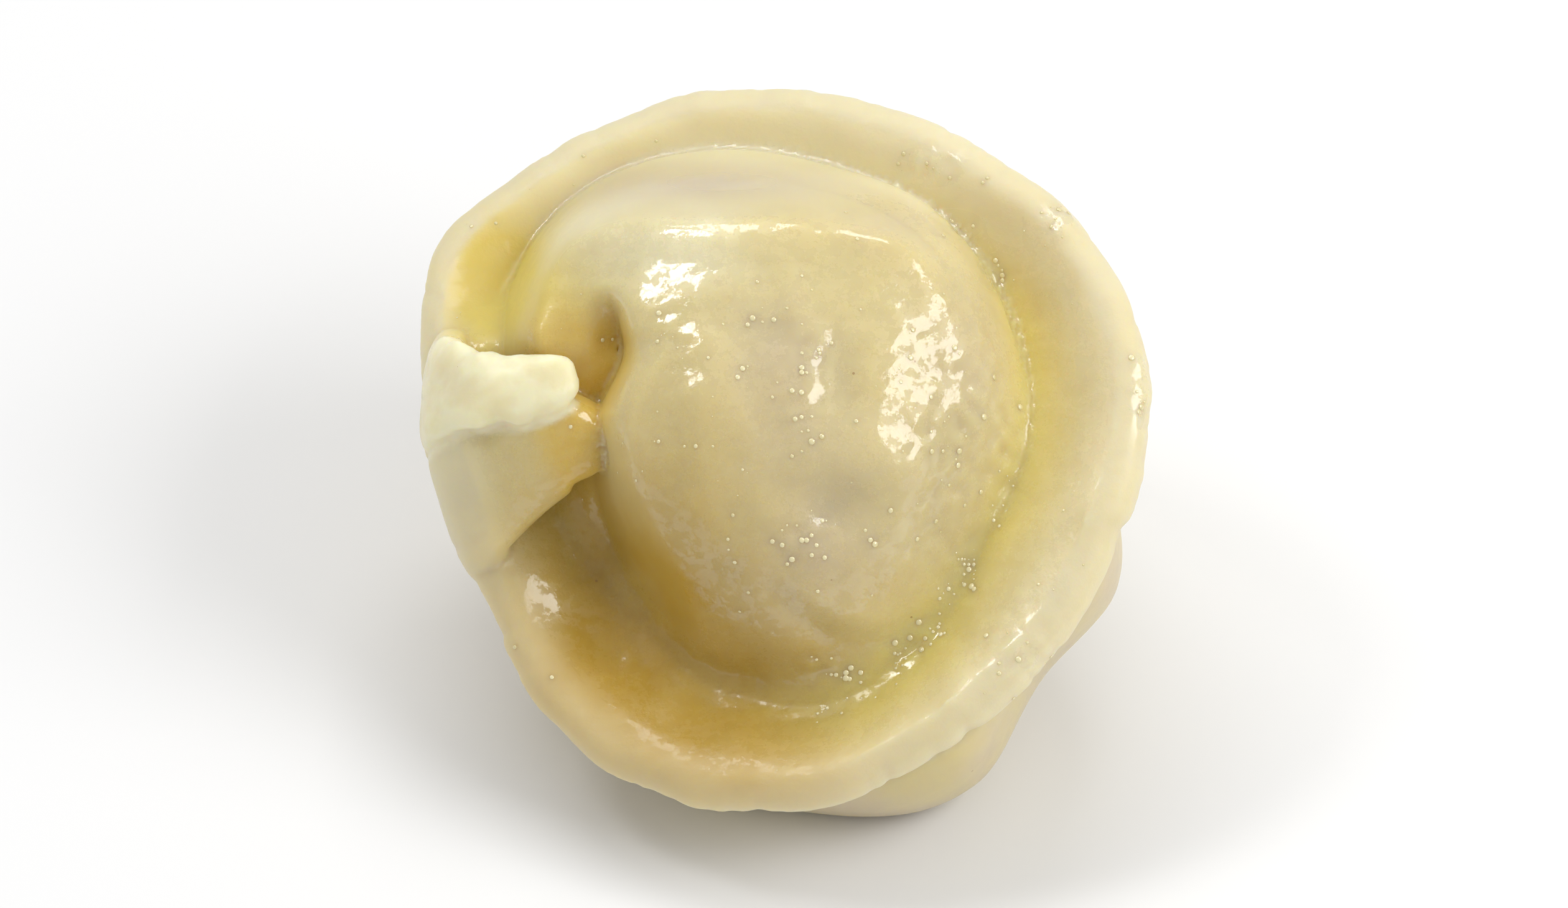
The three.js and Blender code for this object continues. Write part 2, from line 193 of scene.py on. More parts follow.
# Patches of the skin, each with its middle u and v, its half-widths across and along, and its
# share: where the filling shows through, with one patch of painted shade on the lower belly;
# painted shade in the deep groove, at the lower left, under the lobe and in the recess; wet yellow
# dough; painted light at the crown and at the brim's top; standing broth; and gathered drops of
# broth.
FILLING = (
    (-6, 15.6, 9, 1.5, 1),
    (7, 13.2, 4, 1.6, 0.5),
    (2.6, -4, 3, 2.6, 0.75),
    (-0.5, 5, 3.4, 3.6, 0.7),
    (9.5, -5, 2.6, 3.4, 0.4),
    (-2, -11, 5, 3, 0.45),
    (9, 2, 4, 5, 0.4),
    # Painted shade: this patch darkens the lower belly.
    (0, -7, 5, 3, 0.3),
    (10.5, 6.5, 3.5, 3.5, 0.45),
    (0, 0, 4, 4, 0.45),
    (3, -6.8, 3.2, 2, 0.5),
)
# Painted shade and shadow in amber: at the lower left, in the deep groove below the belly, under
# the main lobe, on the bottom lip and in the recess.
AMBER_PAINTED_SHADE = (
    (-10, -9, 7, 8.5, 1),
    (-5, -13.5, 6, 5, 0.8),
    (2, -12, 3, 2, 0.35),
    (-2, -18.5, 6, 3, 0.6),
    (-14, 5.3, 2.2, 2.2, 0.6),
    (5.5, -8.5, 2.5, 1.5, 0.25),
    (-5.5, -3, 3, 6, 0.12),
)
YELLOW = ((-18, 10.3, 3, 4, 1.3), (-14.5, 8.5, 3, 3, 0.8))
# Painted light: lighter, floury patches on the crown's upper left and on the brim's top, as if lit
# from above.
PAINTED_LIGHT_CROWN = ((-8, 12, 6, 2.6, 1),)
PAINTED_LIGHT_BRIM = ((-3, 18, 14, 2.4, 1),)
SOAKED = ((-4, 15.5, 7, 1.3, 0.5), (9.7, 13, 1.9, 1, 1), (12.4, 10.2, 1.4, 1.2, 1))
DROPS = (
    (2.2, -13.1, 1.1, 0.7, 2.2),
    (3.3, -13.9, 1.4, 0.5, 1.5),
    (1, -5.6, 1.7, 1, 2),
    (4.8, -5.7, 0.6, 0.6, 1.6),
    (1, 4, 1.2, 3, 1.7),
    (-2.5, 4.4, 0.6, 0.6, 1.2),
    (-1, 7.7, 1, 1.3, 1),
    (-7.4, 7.2, 1, 2, 0.8),
    (8, 4.5, 4, 5, 0.7),
    (11.4, 0.8, 2.2, 3, 1.2),
    (9, -4, 3, 3, 0.7),
    (9.6, 13, 1.3, 0.6, 2),
    (12.2, 10.3, 0.8, 0.6, 2),
    (10.3, -6.6, 0.8, 0.8, 2),
    (9.6, -9, 0.8, 0.8, 2),
    (8, -11.2, 0.8, 0.8, 2),
    (6.4, -12.8, 0.8, 0.8, 2),
    (20.7, 3, 0.6, 2.6, 1.5),
    (16, 13.3, 1, 1, 1.5),
    (8.5, 16.6, 1.6, 1, 1.5),
    (14, -12.5, 3, 3, 0.8),
)

# Smooth steps that bound the zones of the skin, as (start, run): a negative run falls. They are
# in millimetres, but for the shares of the brim and the levels, which are a normal's height.
STEPS = {
    "front": (-1.9, 0.9), "flap_gap": (0.75, -0.5), "flap_height": (-1.5, 3),
    "recess_top": (9.6, -3.5), "recess_left": (-8, 6.5), "recess_right": (1.2, -1.6),
    "recess_inside": (0, -2), "top": (6, 9), "rim_share": (0.3, 0.65), "rim_inside": (-0.5, 1.5),
    "rim_painted_shade_right": (8, 8), "painted_top_light_outside": (0.5, -1.5), "filling_outside": (1.2, -1.5),
    "lip_share": (0.86, 0.12), "lip_foot": (-3.4, 0.8), "level": (0.35, 0.4),
    "relief_level": (0.25, 0.5), "gathers_top": (1, 3), "gathers_foot": (17, -9),
}
# The brim's pale tone reaches further in at the top, as painted light from above, and thins at the
# right, as painted shade where the key light is strongest.
RIM = {"painted_light_lead_at_top": 0.55, "painted_shade_loss_at_right": 0.3}
# The groove's yellow is partly wet dough and partly painted shade in the crease between belly and
# brim; it fades at the top as painted light from above.
GROOVE = {"outside": 0.2, "half_width": 2.6, "half_height": 2.5, "painted_light_loss_at_top": 0.8}

# Random fields of the relief: wavelength in millimetres and seed. The gathers' field lies on a
# drum, stretched along its axis. The skin is calm on the brim and on steep walls. Nicks are worn
# deepest round one angle.
FIELDS = {
    "waver": (5, 11), "sag": (9, 3), "lumps": (3.2, 5), "grain": (1.1, 7), "drops": (1.3, 41),
    "rough": (2.8, 13), "fine": (0.9, 17), "gathers": (6.5, 19), "flap_edge": (2.2, 29),
}
ROUGH_HEIGHT = 0.04
FINE_HEIGHT = 0.012
FLAP_EDGE = {"v": 3.3, "half_width": 1.6, "height": 0.12}
CALM = {"rim": 0.6, "steep": 0.85}
DRUM = {"radius": 20, "stretch": 0.12}
NICKS = {"seed": 23, "widths": (0.2, 0.55), "least": 0.08}
NICKED = {"at": math.radians(-58), "half_angle": 0.6, "elsewhere": 0.35}

# The dough's tones, laid one over the other: zone, its share, how much the share varies, the size
# of its patches and the tone.
TONES = (
    # Painted light on the crown and the brim's top, in the floury tone.
    ("thick", 0.8, 0.25, "broad", "floury_and_top_light"),
    ("rim", 0.75, 0.25, "broad", "pale"),
    # Partly wet dough, partly painted shade in the crease.
    ("groove", 0.75, 0.25, "broad", "yellow"),
    ("filling", 0.8, 0.25, "broad", "mauve"),
    ("behind", 0.55, 0.8, "broad", "mauve"),
    # Painted shade in the recess, as a deeper honey yellow.
    ("recess", 0.85, 0.15, "broad", "honey_painted_shade"),
    ("lip", 0.7, 0.25, "middling", "edge"),
    # Painted shade, in amber.
    ("amber", 0.9, 0.15, "broad", "amber"),
    ("flap", 0.9, 0.25, "middling", "floury_and_top_light"),
)
# How much of the film of broth has run off each zone.
RUN_OFF = {"flap": 1, "rim": 0.8, "behind": 0.92, "groove": 0.6, "steep": 0.9, "lip": 0.95}
# The film's tear in its noise, the gathered drops' lead there, its coat and the lip's dullness.
FILM = {"tear": (0.475, 0.515), "lead": 0.04, "coat": 0.7, "lip": 0.15}
# Sizes of the finish's patches, in metres, and the specks in their cells.
PATCH_SIZES = {"broad": 0.006, "middling": 0.0022, "film": 0.001, "relief": 0.0017, "fine": 0.00045}
SPECKS = {"cell": 0.0016, "radius": 0.05, "chance": 0.1, "strength": 0.55}

# Lights: direction from the dumpling, distance, and width and height, in metres.
LIGHTS = {
    "key": ((0.71, -0.23, 0.68), 0.45, (0.29, 0.24)),
    "side": ((-0.5, 0.1, 0.83), 0.45, (0.09, 0.11)),
    "rear": ((-0.1, 0.42, 0.9), 0.6, (0.45, 0.18)),
}
PHOTO_SIZE = (2520, 1459)
SENSOR_WIDTH = 36

# ---- small functions ----


def ease(x):
    """Smooth step: three x squared less two x cubed between 0 and 1, and held outside."""
    x = np.clip(x, 0, 1)
    return x * x * (3 - 2 * x)


def soft_max(a, b, softness):
    """The larger of a and b with its corner rounded: half of a plus b plus the root of their
    difference squared plus the softness squared."""
    return (a + b + np.hypot(a - b, softness)) / 2


def hill(u, v, half_u, half_v):
    """A round hill of height 1: e to the power of minus u over its half-width squared, minus the
    same for v."""
    return np.exp(-((u / half_u) ** 2) - (v / half_v) ** 2)


def hills(u, v, table):
    """The sum of a table's hills, each times its height or share."""
    return sum(share * hill(u - u0, v - v0, *wide) for u0, v0, *wide, share in table)


def step(name, x):
    """The named smooth step: ease of x less its start, over its run."""
    start, run = STEPS[name]
    return ease((x - start) / run)


def along_line(stations, x):
    """The cubic through stations of (place, value), held past its ends. Between two stations it
    rises as a smooth step, plus each end's slope, which is that from neighbour to neighbour."""
    at, value = np.array(stations, float).T
    slope = np.gradient(value, at)
    slope[1:-1] = (value[2:] - value[:-2]) / (at[2:] - at[:-2])
    held = np.clip(x, at[0], at[-1])
    i = np.clip(np.searchsorted(at, held, side="right") - 1, 0, len(at) - 2)
    span = at[i + 1] - at[i]
    s = (held - at[i]) / span
    bend = slope[i] * (1 - s) - slope[i + 1] * s
    return value[i] + (value[i + 1] - value[i]) * ease(s) + span * s * (1 - s) * bend


def round_ring(stations, degrees):
    """The same cubic round a closed ring: the stations are repeated a turn before and after."""
    turns = [(angle + by, value) for by in (-360, 0, 360) for angle, value in stations]
    return along_line(turns, np.mod(degrees, 360))


def ripples(points, wavelength, seed, waves=48):
    """A smooth random field of spread 1: plane waves in seeded directions, with lengths near the
    wavelength and seeded phases, are added up and divided by the root of half their number."""
    chance = np.random.default_rng(seed)
    heading = chance.normal(size=(waves, 3))
    heading /= np.linalg.norm(heading, axis=1, keepdims=True)
    number = 2 * np.pi / (wavelength * chance.uniform(0.7, 1.4, waves))
    phase = chance.uniform(0, 2 * np.pi, waves)
    return np.cos(points @ (heading * number[:, None]).T + phase).sum(1) / math.sqrt(waves / 2)


# ---- the wrapper in the face frame ----


def brim_plane(u, v):
    """Height of the plane that the brim leans in: each lean times its own direction, added."""
    return BRIM_LEAN[0] * u + BRIM_LEAN[1] * v


BRIM_NORMAL = np.array([-BRIM_LEAN[0], -BRIM_LEAN[1], 1.0])
BRIM_NORMAL /= np.linalg.norm(BRIM_NORMAL)


def rings_at(degrees):
    """Every ring's value at the angles."""
    tables = {
        "brim": BRIM_REACH, "belly": BELLY_REACH, "curl": BRIM_CURL, "rise": BRIM_RISE,
        "width": SHOULDER_WIDTH, "power": SHOULDER_POWER, "softness": SEAM_SOFTNESS,
        "back": BACK_REACH,
    }
    rings = {name: round_ring(table, degrees) for name, table in tables.items()}
    rings["degrees"] = degrees
    return rings


def spread_out(rings, reach):
    """Face-frame u and v at a reach along each ring's angle."""
    angle = np.radians(rings["degrees"])
    return (
        BELLY_MIDDLE[0] + reach * np.cos(angle),
        BELLY_MIDDLE[1] + reach * np.sin(angle),
    )


def brim_share(rings, reach):
    """How far out on the brim a reach is: 0 at the belly and 1 where the lip turns down."""
    lip = rings["brim"] - BRIM_THICKNESS / 2
    return np.clip((reach - rings["belly"]) / (lip - rings["belly"]), 0, 1)


def brim_height(rings, reach):
    """The brim's upper surface above the brim plane: a floor that rises towards the pinch, curling
    up to its lip as a power of the share, relaxed a little at the lip."""
    t = brim_share(rings, reach)
    relaxed = (1 - CURL_RELAX * t**3) / (1 - CURL_RELAX)
    return BRIM_FLOOR + rings["rise"] + rings["curl"] * t**CURL_POWER * relaxed


def crown_height(u, v):
    """The belly's crown: a shallow round dome, less the recess with its steep right wall and its
    slope at the left, less the step under the main lobe, plus the dents and swells."""
    dome = (u - BELLY_TOP[0]) ** 2 + (v - BELLY_TOP[1]) ** 2
    w = BELLY_HEIGHT - dome / (2 * BELLY_CURVE_RADIUS)

    from_wall = u - along_line(RECESS_WALL, v)
    foot = WALL["foot_widening"] * ease((WALL["foot_top"] - v) / WALL["foot_run"])
    wall = np.sin(np.pi / 2 * np.clip(from_wall / (WALL["width"] * (1 + foot)), 0, 1))
    ramp = np.sin(np.pi / 2 * np.clip(-from_wall / SLOPE["width"], 0, 1))
    slope = SLOPE["loss"] * ramp * ease((v - SLOPE["foot"]) / SLOPE["run"])
    left = ease(-from_wall / RECESS["spread"])
    run = RECESS["wall_run"] + (RECESS["left_run"] - RECESS["wall_run"]) * left
    empty = np.where(from_wall > 0, 1 - wall, 1 - slope)
    w = w - RECESS["depth"] * ease((RECESS["top"] - v) / run) * empty

    below = LOWER_EDGE["v"] + LOWER_EDGE["bend"] * (u - LOWER_EDGE["u"]) ** 2 - v
    rise = ease((u - LOWER_SPAN["from"]) / LOWER_SPAN["rise"])
    span = rise * ease((LOWER_SPAN["to"] - u) / LOWER_SPAN["fall"])
    tier = LOWER_STEP["height"] * ease((below + LOWER_STEP["lead"]) / LOWER_STEP["width"])
    under = UNDERCUT["depth"] * hill(below - UNDERCUT["at"], 0, UNDERCUT["half_width"], 1)
    w = w - span * (tier + under)
    fall = LEFT_FALL
    past = fall["across_u"] * (u - fall["u"]) + fall["across_v"] * (v - fall["v"])
    w = w - (1 - span) * fall["drop"] * ease(past / fall["run"])
    return w + hills(u, v, SWELLS)


def front_points(rings, reach):
    """The front: belly and brim joined by a soft maximum. The belly's shoulder turns down as a
    superellipse. It bulges over the groove at the upper right, as a parabola of its height over
    the brim, and leans over the recess."""
    u, v = spread_out(rings, reach)
    inside = rings["belly"] - reach
    brim = brim_plane(u, v) + brim_height(rings, reach)
    root = brim_plane(u, v) + BRIM_FLOOR - BELLY_ROOT
    turn = np.clip((inside + SHOULDER_MARGIN) / (rings["width"] + SHOULDER_MARGIN), 0, 1)
    shoulder = (1 - (1 - turn) ** rings["power"]) ** (1 / rings["power"])
    dropped = SHOULDER_DROP * np.maximum(-SHOULDER_MARGIN - inside, 0)
    belly = root + (crown_height(u, v) - root) * shoulder - dropped
    w = soft_max(belly, brim, rings["softness"] * ease(reach / MIDDLE_CALM))
    w = w + hills(u, v, SADDLE)

    over = OVERHANG
    lift = np.clip((w - brim) / over["height"], 0, 1)
    sector = hill(np.mod(rings["degrees"], 360) - over["angle"], 0, over["spread"], 1)
    near = ease((over["reach"] - inside) / over["fade"])
    bulge = over["amount"] * sector * near * 4 * lift * (1 - lift)
    angle = np.radians(rings["degrees"])
    from_wall = u - along_line(RECESS_WALL, v)
    wall = WALL_LEAN
    lean = wall["amount"] * hill(from_wall - wall["at"], 0, wall["half_width"], 1)
    lean = lean * ease((wall["top"] - v) / wall["run"]) * ease((v - wall["foot"]) / wall["run"])
    lean = lean * ease(inside / 2)
    return np.stack([u + bulge * np.cos(angle) - lean, v + bulge * np.sin(angle), w], -1)


def points_behind(rings, reach, height, depth):
    """Points at a height over the brim plane, then so deep behind it along its normal."""
    u, v = spread_out(rings, reach)
    at = np.stack([u, v, brim_plane(u, v) + height], -1)
    return at - BRIM_NORMAL * np.broadcast_to(depth, u.shape)[..., None]


def wrapper_grid(waver):
    """The wrapper as rows of rings, from the middle of the front to the middle of the back: the
    crown, its shoulder, the brim, half a circle round the lip, the brim's underside, and the
    back as a quarter of an ellipse. The lip's reach wavers along it."""
    degrees = np.linspace(0, 360, COLUMNS, endpoint=False)[None, :]
    rings = rings_at(degrees)
    around = np.stack([np.cos(np.radians(degrees[0])), np.sin(np.radians(degrees[0]))], -1)
    around = np.concatenate([around * LIP_RADIUS, np.zeros((COLUMNS, 1))], 1)
    rings["brim"] = rings["brim"] + waver * ripples(around, *FIELDS["waver"])[None, :]

    def steps(name, start=1):
        return (np.arange(start, ROWS[name] + 1) / ROWS[name])[:, None]

    half = BRIM_THICKNESS / 2
    lip_reach = rings["brim"] - half
    shoulder_reach = rings["belly"] - rings["width"]
    crown = shoulder_reach * steps("crown")
    shoulder = rings["belly"] - rings["width"] * (1 - steps("shoulder"))
    brim = rings["belly"] + (lip_reach - rings["belly"]) * steps("brim")
    front = front_points(rings, np.concatenate([crown, shoulder, brim]))

    turn = np.pi * steps("lip")
    lip_height = brim_height(rings, lip_reach)
    lip = points_behind(
        rings, lip_reach + half * np.sin(turn), lip_height, half * (1 - np.cos(turn))
    )
    neck_reach = rings["back"] * math.cos(BACK_NECK)
    under_reach = lip_reach + (neck_reach - lip_reach) * steps("under")
    under = points_behind(rings, under_reach, brim_height(rings, under_reach), BRIM_THICKNESS)

    turn = BACK_NECK + (np.pi / 2 - BACK_NECK) * steps("back")[:-1]
    sunk = (np.sin(turn) - math.sin(BACK_NECK)) / (1 - math.sin(BACK_NECK))
    neck_height = brim_height(rings, neck_reach)
    height = neck_height + (BRIM_FLOOR - neck_height) * ease(BACK_BLEND * sunk)
    depth = BRIM_THICKNESS + (BACK_MIDDLE_DEPTH + BACK_DEPTH - BRIM_THICKNESS) * sunk
    back = points_behind(rings, rings["back"] * np.cos(turn), height, depth)
    first = front_points(rings, 0 * shoulder_reach)[0, 0]
    middle = brim_plane(*BELLY_MIDDLE) + BRIM_FLOOR
    last = np.array([*BELLY_MIDDLE, middle]) - BRIM_NORMAL * (BACK_MIDDLE_DEPTH + BACK_DEPTH)
    return np.concatenate([front, lip, under, back]), first, last


def through_points(points, t):
    """Catmull-Rom curve through points, at shares t of its length in stations: the usual cubic
    of each point, its neighbours and a mirrored point past each end."""
    points = np.array(points, float)
    x = t * (len(points) - 1)
    i = np.clip(x.astype(int), 0, len(points) - 2)
    f = (x - i)[:, None]
    ends = 2 * points[0] - points[1], 2 * points[-1] - points[-2]
    line = np.concatenate([ends[0][None], points, ends[1][None]])
    a, b, c, d = line[i], line[i + 1], line[i + 2], line[i + 3]
    square = (2 * a - 5 * b + 4 * c - d) * f**2
    return (2 * b + (c - a) * f + square + (3 * b - a - 3 * c + d) * f**3) / 2


def corner_grid(stations):
    """A flat tongue with round ends: a squared ellipse of the width and thickness is carried
    along the path, and both shrink to the ends as a quarter circle."""
    t = (1 - np.cos(np.pi * np.linspace(0, 1, CORNER_ROWS))) / 2
    centre = through_points([s[0] for s in stations], t)
    side = through_points([s[1] for s in stations], t)
    width, thickness = through_points([s[2:] for s in stations], t).T
    forward = np.gradient(centre, axis=0)
    forward /= np.linalg.norm(forward, axis=1, keepdims=True)
    side -= (side * forward).sum(1, keepdims=True) * forward
    side /= np.linalg.norm(side, axis=1, keepdims=True)
    face = np.cross(forward, side)
    run = np.concatenate([[0], np.cumsum(np.linalg.norm(np.diff(centre, axis=0), axis=1))])
    to_end = np.clip(np.minimum(run, run[-1] - run) / CORNER_CAP, 0, 1)
    cap = np.sqrt(np.clip(1 - (1 - to_end) ** 2, CORNER_TIP, 1))
    turn = np.linspace(0, 2 * np.pi, CORNER_COLUMNS, endpoint=False)
    squared = [np.sign(x) * np.abs(x) ** CORNER_SQUARENESS for x in (np.cos(turn), np.sin(turn))]
    half_width = width / 2 * (CORNER_END_WIDTH + (1 - CORNER_END_WIDTH) * cap)
    across = squared[0][None, :, None] * (half_width[:, None] * side)[:, None]
    through = squared[1][None, :, None] * ((thickness / 2 * cap)[:, None] * face)[:, None]
    grid = centre[:, None] + across + through
    return grid[:, ::-1], centre[0], centre[-1]


def shell_faces(rows, columns, start):
    """Quads of a grid that closes round its columns, and fans to a first and a last point."""
    i = np.arange(rows - 1)[:, None] * columns
    j = np.arange(columns)[None, :]
    k = (j + 1) % columns
    quads = np.stack([i + j, i + columns + j, i + columns + k, i + k], -1).reshape(-1, 4)
    first, last = rows * columns, rows * columns + 1
    ends = (rows - 1) * columns
    j, k = j[0], k[0]
    fans = [
        np.stack([np.full(columns, first), j, k], -1),
        np.stack([np.full(columns, last), ends + k, ends + j], -1),
    ]
    return (quads + start).tolist() + (np.concatenate(fans) + start).tolist()


def join_shells(shells):
    """Points and faces of several closed grids, one after the other."""
    points, faces, start = [], [], 0
    for grid, first, last in shells:
        rows, columns = grid.shape[:2]
        faces += shell_faces(rows, columns, start)
        points += [grid.reshape(-1, 3), first[None], last[None]]
        start += rows * columns + 2
    return np.concatenate(points), faces


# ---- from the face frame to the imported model's box ----


def lay_back(points):
    """U stays to the right, V goes up and back, and W up and to the front, by the tilt."""
    u, v, w = points.T
    cos, sin = math.cos(FACE_TILT), math.sin(FACE_TILT)
    return np.stack([u, v * sin - w * cos, v * cos + w * sin], -1)


def press_flat(points, floor):
    """Heights under the floor are eased up to it: the floor plus the softness times the log of
    1 plus e to the power of the height above it over the softness. Then the base is shaved."""
    over = (points[:, 2] - floor) / FLAT_SOFTNESS
    points[:, 2] = floor + FLAT_SOFTNESS * np.logaddexp(0, over)
    points[:, 2] = np.maximum(points[:, 2], floor + BASE_SHAVE)
    return points


class Standing:
    """Where the face frame stands in the row frame: its floor, and the shift to the box."""

    def __init__(self, body, corners):
        laid = lay_back(body)
        self.floor = laid[:, 2].min() + FLAT_DEPTH
        both = np.concatenate([laid, lay_back(corners)])
        low, high = both.min(0), both.max(0)
        centre = np.array((CAD_LOW + CAD_HIGH) / 2) / MM
        self.shift = centre - (low + high) / 2
        self.shift[2] = CAD_LOW.z / MM - self.floor - BASE_SHAVE

    def place(self, points):
        """Face-frame millimetres to row-frame metres."""
        return (press_flat(lay_back(points), self.floor) + self.shift) * MM


# ---- meshes ----


def new_mesh(name, points, faces):
    """A smooth mesh from points and faces."""
    mesh = bpy.data.meshes.new(name)
    mesh.from_pydata(points.tolist(), [], faces if isinstance(faces, list) else faces.tolist())
    mesh.update()
    mesh.shade_smooth()
    return mesh


def add_object(name, mesh):
    piece = bpy.data.objects.new(name, mesh)
    bpy.context.scene.collection.objects.link(piece)
    return piece


def read_points(mesh, field="co"):
    flat = np.empty(len(mesh.vertices) * 3, np.float32)
    mesh.vertices.foreach_get(field, flat)
    return flat.reshape(-1, 3).astype(float)


def write_points(mesh, points):
    mesh.vertices.foreach_set("co", points.astype(np.float32).ravel())
    mesh.update()


def one_skin(points, faces, voxel):
    """One even skin round closed shells that overlap: a voxel remesh, whose points are then laid
    back on the nearest shell."""
    shells = add_object("shells", new_mesh("shells", points, faces))
    draft = add_object("draft", shells.data)
    remesh = draft.modifiers.new("skin", "REMESH")
    remesh.mode = "VOXEL"
    remesh.voxel_size = voxel
    wrap = draft.modifiers.new("wrap", "SHRINKWRAP")
    wrap.target = shells
    wrap.wrap_method = "NEAREST_SURFACEPOINT"
    seen = draft.evaluated_get(bpy.context.evaluated_depsgraph_get())
    mesh = bpy.data.meshes.new_from_object(seen)
    bpy.data.objects.remove(draft)
    bpy.data.objects.remove(shells)
    return mesh


def relax(mesh, points, rounds, strength=0.5, back=-0.53):
    """Evens the skin without shrinking it: each point moves towards the mean of its neighbours,
    and then a little further back."""
    pairs = np.empty(len(mesh.edges) * 2, np.int32)
    mesh.edges.foreach_get("vertices", pairs)
    a, b = pairs.reshape(-1, 2).T
    count = np.bincount(np.concatenate([a, b]), minlength=len(points))[:, None]
    for share in (strength, back) * rounds:
        total = [
            np.bincount(a, row[b], len(points)) + np.bincount(b, row[a], len(points))
            for row in points.T
        ]
        points = points + share * (np.stack(total, -1) / count - points)
    return points


def put_attribute(mesh, name, values):
    layer = mesh.attributes.new(name, "FLOAT", "POINT")
    layer.data.foreach_set("value", values.astype(np.float32))


def nearest_distance(points, others, block=2000):
    """Distance from each point to the nearest of the others."""
    parts = []
    for start in range(0, len(points), block):
        gap = points[start : start + block, None] - others[None]
        parts.append(np.sqrt((gap**2).sum(-1).min(1)))
    return np.concatenate(parts)


# ---- zones of the skin ----


def skin_zones(points, normals, flap_points):
    """Shares from 0 to 1 of the zones that the finish tells apart, from face-frame places."""
    u, v, w = points.T
    reach = np.hypot(u - BELLY_MIDDLE[0], v - BELLY_MIDDLE[1])
    rings = rings_at(np.degrees(np.arctan2(v - BELLY_MIDDLE[1], u - BELLY_MIDDLE[0])))
    t = brim_share(rings, reach)
    above = w - brim_plane(u, v) - brim_height(rings, reach)
    front = step("front", above)
    outside = reach - rings["belly"]

    # The flap's points are sought only round the pinch.
    near = (u < -10) & (np.abs(v - 3) < 9)
    flap = np.zeros(len(points))
    flap[near] = step("flap_gap", nearest_distance(points[near], flap_points))
    flap *= step("flap_height", w)

    from_wall = u - along_line(RECESS_WALL, v)
    # Painted shade: the recess by the pinch takes a deeper honey yellow.
    recess = step("recess_top", v) * step("recess_left", from_wall)
    recess = recess * step("recess_right", from_wall) * step("recess_inside", outside)
    recess = front * recess * (1 - flap)
    top = step("top", v)
    # Painted light and shade on the brim: its pale tone leads in at the top and thins at the right.
    rim = step("rim_share", t + RIM["painted_light_lead_at_top"] * top) * step("rim_inside", outside)
    rim = front * rim * (1 - flap) * (1 - RIM["painted_shade_loss_at_right"] * step("rim_painted_shade_right", u))
    # The crease between belly and brim is yellower, partly as painted shade, and less so at the
    # top, as painted light.
    groove = hill(outside - GROOVE["outside"], above, GROOVE["half_width"], GROOVE["half_height"])
    groove = front * (groove * (1 - GROOVE["painted_light_loss_at_top"] * top) + hills(u, v, YELLOW))
    # Painted light: the crown's upper left and the brim's top are made lighter.
    thick = hills(u, v, PAINTED_LIGHT_CROWN) * step("painted_top_light_outside", outside)
    thick = np.clip(thick + hills(u, v, PAINTED_LIGHT_BRIM), 0, 1) * front
    soaked = np.clip(hills(u, v, SOAKED), 0, 1) * front
    drops = np.clip(hills(u, v, DROPS), 0, 1) * front
    filling = np.clip(hills(u, v, FILLING), 0, 1) * front * step("filling_outside", outside)
    # Painted shade: amber darkens the lower left, the deep groove, the bottom lip and the recess.
    amber = np.clip(hills(u, v, AMBER_PAINTED_SHADE), 0, 1) * front * (1 - flap)
    lip = step("lip_share", t) * step("lip_foot", above)
    steep = front * (1 - step("level", normals[:, 2])) * (1 - flap)
    return {
        "rim": rim, "groove": groove, "filling": filling, "recess": recess, "amber": amber,
        "thick": thick, "soaked": soaked, "drops": drops, "flap": flap,
        "lip": lip * (1 - flap), "behind": 1 - front, "steep": steep,
    }


